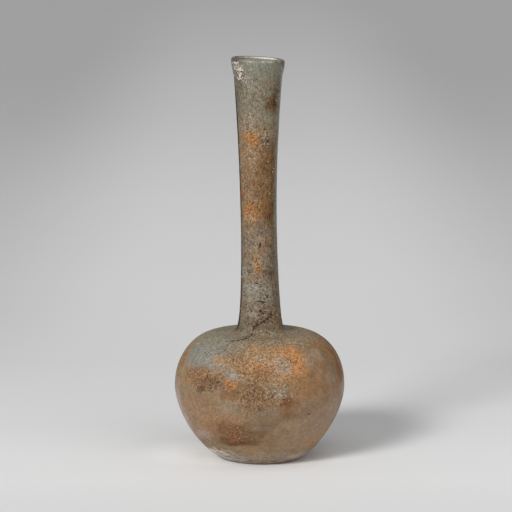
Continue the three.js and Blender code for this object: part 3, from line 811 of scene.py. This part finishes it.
def speck_shells(placed, clusters, seed):
    """The listed specks, clusters of short strokes, and random specks all round."""
    draw = random.Random(seed)
    shells = [speck_shell(*speck) for speck in placed]
    for turn, climb, turn_reach, climb_reach, count in clusters:
        for _ in range(count):
            where = draw.gauss(turn, turn_reach / 2), draw.gauss(climb, climb_reach / 2)
            sizes = draw.uniform(*STROKE_ACROSS), draw.uniform(*STROKE_ALONG)
            shells.append(speck_shell(*where, *sizes, draw.uniform(-90, 90)))
    for _ in range(RANDOM_SPECKS):
        where = draw.uniform(-180, 180), draw.uniform(*SPECK_CLIMBS)
        across = draw.uniform(*SPECK_ACROSS)
        along = across * draw.uniform(*SPECK_ALONG_SHARES)
        shells.append(speck_shell(*where, across, along, draw.uniform(*SPECK_TILTS)))
    return shells


# Looks

class Nodes:
    """The nodes of a material or of the world, with short calls for those that this script uses."""

    def __init__(self, owner):
        owner.use_nodes = True
        self.owner = owner
        self.tree = owner.node_tree
        self.tree.nodes.clear()

    def add(self, kind, inputs=(), **settings):
        """Adds a node and gives its outputs."""
        node = self.tree.nodes.new("ShaderNode" + kind)
        for key, value in settings.items():
            setattr(node, key, value)
        for key, value in dict(inputs).items():
            if isinstance(value, bpy.types.NodeSocket):
                self.tree.links.new(value, node.inputs[key])
            else:
                node.inputs[key].default_value = value
        return node.outputs

    def math(self, operation, *values):
        return self.add("Math", enumerate(values), operation=operation)[0]

    plus = partialmethod(math, "ADD")
    minus = partialmethod(math, "SUBTRACT")
    times = partialmethod(math, "MULTIPLY")
    most = partialmethod(math, "MAXIMUM")
    times_plus = partialmethod(math, "MULTIPLY_ADD")

    def vector(self, operation, *values):
        outputs = self.add("VectorMath", enumerate(values), operation=operation)
        return outputs["Value" if operation == "LENGTH" else "Vector"]

    def scaled(self, vector, factor):
        return self.add("VectorMath", {0: vector, "Scale": factor}, operation="SCALE")[0]

    def noise(self, where, size, detail, roughness=0.55):
        inputs = {"Vector": where, "Scale": 1 / size, "Detail": detail, "Roughness": roughness}
        return self.add("TexNoise", inputs)["Fac"]

    def spread(self, value, low, high, to_low=0, to_high=1, way="SMOOTHSTEP"):
        inputs = enumerate((value, low, high, to_low, to_high))
        return self.add("MapRange", inputs, interpolation_type=way)[0]

    def mix(self, share, first, second, blend="MIX"):
        return self.add("Mix", {0: share, 6: first, 7: second}, data_type="RGBA", blend_type=blend)[2]

    def millimetres(self, seed=0):
        """The place on the piece, in millimetres."""
        place = self.scaled(self.add("TexCoord")["Object"], 1 / MM)
        return self.vector("ADD", place, (seed, seed, seed)) if seed else place

    def stored(self, name):
        return self.add("Attribute", attribute_name=name)["Color"]

    def parts(self, colour):
        return self.add("SeparateColor", {0: colour})[:3]

    def bump(self, height, distance, strength):
        return self.add("Bump", {"Height": height, "Distance": distance * MM, "Strength": strength})[0]

    def finish(self, shader, output="OutputMaterial"):
        self.add(output, {"Surface": shader[0]})
        return self.owner


# A noise's size, detail and roughness, and how far the drawn neck's streaks are stretched
FINE_NOISE = (0.9, 3, 0.68)
MIDDLE_NOISE = (2.8, 4, 0.6)
STREAK_STRETCH = (1, 1, 0.4)
# How much less noise there is where no grains lie, and how sharply a grain ends
GRAIN_DROP = 0.34
GRAIN_EDGE = 0.04
# Cool and warm tints, the two oranges of the grains, and the glass where it is clear
WARMTHS = ((0.93, 1, 1.1, 1), (1.09, 1, 0.86, 1))
IRON_HUES = ((118, 74, 42), (180, 122, 72))
BARE_GLASS = (206, 210, 196)


def grain_mask(nodes, amount, seed, size, cut):
    """A ragged mask of grains that cover more where amount is nearer to 1."""
    field = nodes.noise(nodes.millimetres(seed), size, 4, 0.62)
    lowered = nodes.times_plus(amount, GRAIN_DROP, -GRAIN_DROP)
    return nodes.spread(nodes.plus(field, lowered), cut, cut + GRAIN_EDGE)


def vein_mask(nodes, amount, seed, size, width):
    """Thin winding lines, where a noise passes its middle."""
    field = nodes.noise(nodes.millimetres(seed), size, 3, 0.6)
    away = nodes.math("ABSOLUTE", nodes.minus(field, 0.5))
    return nodes.times(nodes.spread(away, width, 0.4 * width), nodes.spread(amount, 0.3, 0.8))


def glass_swing(nodes, grain):
    """How much lighter or darker than its tone the glass is, and the finest noise in that."""
    where = nodes.millimetres()
    fine = nodes.noise(where, *FINE_NOISE)
    drawn = nodes.spread(nodes.add("SeparateXYZ", {0: where})[2], ROOT_HEIGHT, BODY_HEIGHT + THROAT_RISE)
    streak = nodes.noise(nodes.vector("MULTIPLY", nodes.millimetres(19), STREAK_STRETCH), *FINE_NOISE)
    fine = nodes.times_plus(nodes.minus(streak, fine), nodes.times(drawn, 0.6), fine)
    middle = nodes.noise(nodes.millimetres(13), *MIDDLE_NOISE)
    swing = nodes.times(nodes.minus(fine, 0.5), nodes.times_plus(grain, 3.4, 0.3))
    swing = nodes.plus(swing, nodes.times(nodes.minus(middle, 0.5), 0.8))
    swing = nodes.times_plus(vein_mask(nodes, grain, 210, 1.5, 0.12), 0.35, swing)
    swing = nodes.times_plus(vein_mask(nodes, grain, 240, 1.3, 0.1), -0.35, swing)
    return nodes.most(swing, -0.75), fine


def glass_material():
    """Pale glass under a haze of weathering, with stains and fine grains of what it was buried in; its
    stored tone also holds painted shade, highlights and light.
    """
    nodes = Nodes(bpy.data.materials.new("weathered_glass"))
    iron, dirt, lime = nodes.parts(nodes.stored("grit"))
    clear, shine, grain = nodes.parts(nodes.stored("clear"))
    swing, fine = glass_swing(nodes, grain)
    colour = nodes.scaled(nodes.stored("tone"), nodes.plus(swing, 1))
    warmth = nodes.spread(nodes.noise(nodes.millimetres(29), 1.7, 4, 0.65), 0.35, 0.65)
    colour = nodes.mix(nodes.times_plus(grain, 0.7, 0.3), colour, nodes.mix(warmth, *WARMTHS), "MULTIPLY")
    # Each mask has a seed, a size in millimetres, and a level or a width
    iron_mask = grain_mask(nodes, iron, 40, 1.3, 0.5)
    dirt_mask = grain_mask(nodes, dirt, 80, 0.9, 0.52)
    lime_mask = grain_mask(nodes, lime, 120, 0.9, 0.54)
    dark_mask = nodes.most(dirt_mask, vein_mask(nodes, dirt, 160, 4.5, 0.012))
    hue = nodes.spread(nodes.noise(nodes.millimetres(51), 1.2, 3, 0.65), 0.3, 0.7)
    iron_colour = nodes.mix(hue, *(rgb(*levels) for levels in IRON_HUES))
    for mask, strength, stain in (
            (dark_mask, 0.6, rgb(78, 61, 45)),
            (iron_mask, 0.75, iron_colour),
            (lime_mask, 0.6, rgb(174, 158, 136)),
            (vein_mask(nodes, iron, 270, 1.9, 0.022), 0.5, rgb(206, 158, 106))):
        colour = nodes.mix(nodes.times(mask, strength), colour, stain)
    grains = nodes.most(nodes.most(iron_mask, dirt_mask), lime_mask)
    bare = nodes.minus(1, grains)
    see = nodes.times(clear, nodes.times_plus(bare, 0.8, 0.2))
    rise = nodes.minus(nodes.plus(iron_mask, lime_mask), dark_mask)
    rise = nodes.times_plus(fine, nodes.times_plus(grain, 2, 0.15), rise)
    return nodes.finish(nodes.add("BsdfPrincipled", {
        "Base Color": nodes.mix(see, colour, rgb(*BARE_GLASS)),
        "Roughness": nodes.times_plus(grains, 0.25, nodes.spread(shine, 0, 1, 0.62, 0.25)),
        "IOR": 1.5,
        "Specular IOR Level": 0.2,
        "Transmission Weight": see,
        "Coat Weight": nodes.times(shine, nodes.times(bare, 0.7)),
        "Coat Roughness": 0.14,
        "Normal": nodes.bump(rise, 0.2, 0.7),
    }))


# The deposits: a slot, and the colours of dark blotches, of the most, of pale grains and of hollows
DEPOSITS = {
    "iron_crust": ("iron_crust", (121, 81, 48), (163, 112, 66), (194, 146, 98), (82, 58, 38)),
    "dark_crust": ("dark_crust", (80, 60, 48), (112, 82, 61), (154, 116, 82), (52, 41, 34)),
    "ochre_crust": ("iron_crust", (124, 90, 56), (150, 108, 64), (178, 136, 88), (82, 60, 40)),
    "chalk_crust": ("lime_crust", (176, 162, 146), (228, 216, 202), (246, 240, 230), (62, 54, 46)),
    "lime_crust": ("lime_crust", (140, 127, 109), (168, 155, 136), (196, 184, 166), (94, 80, 64)),
    "packed_dirt": ("dark_crust", (40, 33, 28), (62, 51, 42), (92, 76, 60), (28, 23, 20)),
    "lime_specks": ("lime_crust", (154, 134, 110), (184, 166, 142), (210, 196, 176), (120, 104, 86)),
    "crack_dirt": ("dark_crust", (58, 40, 29), (84, 58, 40), (118, 84, 58), (32, 25, 20)),
}


def crust_material(name, colours):
    """Grains of a burial deposit, each a little different, with darker hollows between them."""
    nodes = Nodes(bpy.data.materials.new(name))
    dark, main, pale, pit = (rgb(*levels) for levels in colours)
    where = nodes.millimetres()
    cells = nodes.add("TexVoronoi", {"Vector": where, "Scale": 1 / GRAIN_SIZE})
    each = nodes.parts(cells["Color"])[0]
    hollow = nodes.spread(nodes.noise(where, 0.5, 3, 0.65), 0.5, 0.62)
    colour = nodes.mix(nodes.spread(nodes.noise(where, 2.4, 4), 0.35, 0.65), dark, main)
    colour = nodes.mix(nodes.times(nodes.spread(each, 0.55, 0.95), 0.8), colour, pale)
    return nodes.finish(nodes.add("BsdfPrincipled", {
        "Base Color": nodes.mix(nodes.times(hollow, 0.9), colour, pit),
        "Roughness": 0.85,
        "Specular IOR Level": 0.25,
        "Normal": nodes.bump(nodes.minus(nodes.times(each, 0.4), hollow), 0.12, 0.8),
    }))


def film_material():
    """Dried soil on the inside of the glass: smooth, brown and cloudy."""
    nodes = Nodes(bpy.data.materials.new("soil_film"))
    where = nodes.millimetres(7)
    cloud = nodes.spread(nodes.noise(where, 9, 4), 0.3, 0.7)
    streak = nodes.spread(nodes.noise(where, 2.5, 4), 0.35, 0.7)
    colour = nodes.mix(cloud, rgb(120, 82, 52), rgb(160, 118, 80))
    return nodes.finish(nodes.add("BsdfPrincipled", {
        "Base Color": nodes.mix(nodes.times(streak, 0.4), colour, rgb(134, 108, 80)),
        "Roughness": 0.8,
        "Normal": nodes.bump(nodes.noise(where, 0.8, 4), 0.08, 0.5),
    }))


# The soil films inside

Film = namedtuple("Film", "node first_turn last_turn low high step")
FILMS = [
    Film("body_soil_film", -233, 83, 8.9, 60, 1.2),
    Film("neck_soil_film", -220, 60, 96.6, 194.8, 0.9),
]
FILM_THICK = 0.4
FILM_SINK = 0.06
# How far the ragged edge reaches in, how wide its slope is, and the noises that fray it
FILM_FADE = 5
FILM_EDGE = 1.5
FILM_LUMP, FILM_LUMP_REACH = 9, 2.5
FILM_CRUMB, FILM_CRUMB_REACH = 2.5, 0.8
FILM_WAVE, FILM_WAVE_SHARE = 5, 0.3


def film_shell(film, seed):
    """A thin sheet on the inner face with a ragged edge all round."""
    radius = radius_at((film.low + film.high) / 2)
    edge_turn = math.degrees(FILM_FADE / radius)
    columns = round(math.radians(film.last_turn - film.first_turn + 2 * edge_turn) * radius / film.step)
    rows = round((film.high - film.low + 2 * FILM_FADE) / film.step)
    turns = np.linspace(film.first_turn - edge_turn, film.last_turn + edge_turn, columns)
    climbs = np.linspace(film.low - FILM_FADE, film.high + FILM_FADE, rows)
    all_turns, all_climbs, points = skin_grid(inner_skin, turns, climbs)
    aside = np.radians(np.minimum(all_turns - turns[0], turns[-1] - all_turns)) * radius
    up = np.minimum(all_climbs - climbs[0], climbs[-1] - all_climbs)
    border = (np.minimum(aside, up) - FILM_FADE).ravel()
    ragged = FILM_LUMP_REACH * rough_noise(points, FILM_LUMP, seed)
    ragged = ragged + FILM_CRUMB_REACH * rough_noise(points, FILM_CRUMB, seed + 3)
    waves = 1 + FILM_WAVE_SHARE * soft_noise(points, FILM_WAVE, seed + 6)
    heights = FILM_THICK * np.clip((border + ragged) / FILM_EDGE, -1, 1) * waves
    return crust_shell(inner_skin, turns, climbs, heights, FILM_SINK, side=-1)


# The stage

# The key light is a wide, low window on the left. Its parts turn so far to the left of the front, rise
# and spread so far, in degrees
KEY_TURNS = (29, 35, 41)
KEY_RISE = 30
KEY_SPREAD = 12
KEY_POWER = 2.5
# Softer lamps: where they shine from, spread and power
SOFT_LAMPS = {"fill": ((0.10, -0.40, 0.91), 50, 0.5), "side": ((0.60, -0.76, 0.26), 60, 0.75)}
LAMP_DISTANCE = 2000
AMBIENT = 0.26
BACKGROUND = 158

FLOOR_RADIUS = 8000
FLOOR_CORNERS = 96
# How grey the floor is at distances behind the flask, in millimetres
FLOOR_GREYS = [
    (-110, 228), (-50, 233), (0, 231), (70, 225), (230, 217), (500, 217), (900, 211), (1500, 197),
    (2300, 184), (3200, 174), (6000, 169),
]
# To the sides and in front the floor darkens as it does behind, but from this much further out
FLOOR_EVEN_REACH = 250
# Behind the flask it is darker to both sides, by this many greys. That comes in aside and behind, falls
# to a share far behind, and ends last of all, each over these distances
SIDE_GREYS = 22
SIDE_FADE = (60, 240)
BEHIND_FADE = (60, 420)
FAR_FADE = (1400, 3400)
FAR_SHARE = 0.2
LAST_FADE = (3400, 6000)
# Painted light on the floor beside the foot, which lightens the flask's shadow there: place in
# millimetres, reach and rise in grey
PAINTED_LIGHT_PATCHES = [((-28, 7, 0), 36, 24), ((28, 3, 0), 26, 13)]
PAINTED_LIGHT_MIDDLE = 6


def make_camera():
    camera_data = bpy.data.cameras.new("camera")
    camera_data.sensor_width = SENSOR
    camera_data.lens = FOCAL_PIXELS / PICTURE_PIXELS * SENSOR
    camera_data.clip_end = CAMERA_REACH * MM
    camera = add_object("camera", camera_data)
    camera.location = (CAMERA_SIDE * MM, -CAMERA_DISTANCE * MM, CAMERA_HEIGHT * MM)
    camera.rotation_euler = (math.pi / 2 - CAMERA_PITCH, 0, 0)
    bpy.context.scene.camera = camera


def make_lamp(name, source, spread, power):
    """A soft, far lamp that shines from source towards the flask."""
    lamp_data = bpy.data.lights.new(name, "SUN")
    lamp_data.angle = math.radians(spread)
    lamp_data.energy = power
    lamp = add_object(name, lamp_data)
    lamp.location = Vector(source) * (LAMP_DISTANCE * MM)
    lamp.rotation_euler = (-Vector(source)).to_track_quat("-Z", "Y").to_euler()


def make_lamps():
    rise = math.radians(KEY_RISE)
    for number, turn in enumerate(KEY_TURNS):
        aside, ahead = math.sin(math.radians(turn)), math.cos(math.radians(turn))
        source = (-aside * math.cos(rise), -ahead * math.cos(rise), math.sin(rise))
        make_lamp(f"key_{number + 1}", source, KEY_SPREAD, KEY_POWER / len(KEY_TURNS))
    for name, lamp in SOFT_LAMPS.items():
        make_lamp(name, *lamp)


def make_world():
    """An even soft light from all round, and a plain grey where the camera sees past the floor."""
    world = bpy.data.worlds.new("studio")
    bpy.context.scene.world = world
    nodes = Nodes(world)
    light = nodes.add("Background", {"Color": (AMBIENT, AMBIENT, AMBIENT, 1)})[0]
    seen = nodes.add("Background", {"Color": rgb(BACKGROUND, BACKGROUND, BACKGROUND)})[0]
    rays = nodes.add("LightPath")
    shown = nodes.most(rays["Is Camera Ray"], rays["Is Glossy Ray"])
    shown = nodes.most(shown, rays["Is Transmission Ray"])
    nodes.finish(nodes.add("MixShader", {0: shown, 1: light, 2: seen}), "OutputWorld")


def floor_material():
    """A sheet of paper whose grey follows the light on it: darker far behind the flask and far out, with
    painted light beside the foot.
    """
    nodes = Nodes(bpy.data.materials.new("studio_floor"))
    where = nodes.millimetres()
    right, back = nodes.add("SeparateXYZ", {0: where})[:2]
    away = nodes.most(back, nodes.minus(nodes.vector("LENGTH", where), FLOOR_EVEN_REACH))
    level = FLOOR_GREYS[0][1]
    for (near, grey), (far, next_grey) in zip(FLOOR_GREYS, FLOOR_GREYS[1:]):
        level = nodes.plus(level, nodes.spread(away, near, far, 0, next_grey - grey, "LINEAR"))
    aside = nodes.spread(nodes.math("ABSOLUTE", right), *SIDE_FADE, 0, SIDE_GREYS)
    behind = nodes.times(nodes.spread(back, *BEHIND_FADE), nodes.spread(back, *FAR_FADE, 1, FAR_SHARE))
    behind = nodes.times(behind, nodes.spread(away, *LAST_FADE, 1, 0))
    level = nodes.minus(level, nodes.times(aside, behind))
    # Painted light beside the foot
    for middle, reach, rise in PAINTED_LIGHT_PATCHES:
        beside = nodes.vector("LENGTH", nodes.vector("SUBTRACT", where, middle))
        level = nodes.plus(level, nodes.spread(beside, PAINTED_LIGHT_MIDDLE, reach, rise, 0))
    share = nodes.math("DIVIDE", level, 255)
    share = nodes.math("DIVIDE", nodes.plus(share, CURVE_SHIFT), 1 + CURVE_SHIFT)
    grey = nodes.math("POWER", share, CURVE_POWER)
    colour = nodes.add("CombineColor", enumerate((grey, grey, grey)))[0]
    return nodes.finish(nodes.add("BsdfDiffuse", {"Color": colour}))


def make_floor():
    turns = np.linspace(0, 2 * np.pi, FLOOR_CORNERS + 1)[:-1]
    rim = np.stack([np.cos(turns), np.sin(turns), 0 * turns], axis=1) * FLOOR_RADIUS
    floor = make_mesh("floor", rim, [tuple(range(FLOOR_CORNERS))], smooth_faces=False)
    floor.data.materials.append(floor_material())


def place(piece, material, slot, node=None):
    """Gives a piece its material, lets it ride, and lets it stand for its node."""
    piece.data.materials.append(material)
    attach(piece, "root")
    if node:
        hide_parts(node)


FILM_SEED = 20.3
CRUST_SEED, CRUST_SEED_STEP = 31.7, 4.3


def make_flask():
    looks = {name: (crust_material(name, colours), slot) for name, (slot, *colours) in DEPOSITS.items()}
    place(vessel(), glass_material(), "glass", "glass_vessel")
    soil = film_material()
    for number, film in enumerate(FILMS):
        piece = join_shells("dried_" + film.node, [film_shell(film, FILM_SEED + number)])
        place(piece, soil, "soil_film", film.node)
    for number, crust in enumerate(CRUSTS):
        shell = crust_patch(crust, CRUST_SEED + CRUST_SEED_STEP * number)
        place(join_shells("grown_" + crust.node, [shell]), *looks[crust.look], crust.node)
    for name, look, shells in (
            ("crack_dirt", "crack_dirt", [crack_shell()]),
            ("dirt_specks", "packed_dirt", speck_shells(DIRT_SPECKS, DIRT_CLUSTERS, DIRT_SEED)),
            ("lime_specks", "lime_specks", speck_shells(LIME_SPECKS, LIME_CLUSTERS, LIME_SEED))):
        place(join_shells(name, shells), *looks[look])


make_flask()
make_camera()
make_floor()
make_world()
make_lamps()

scene = bpy.context.scene
scene.view_settings.view_transform = "Standard"
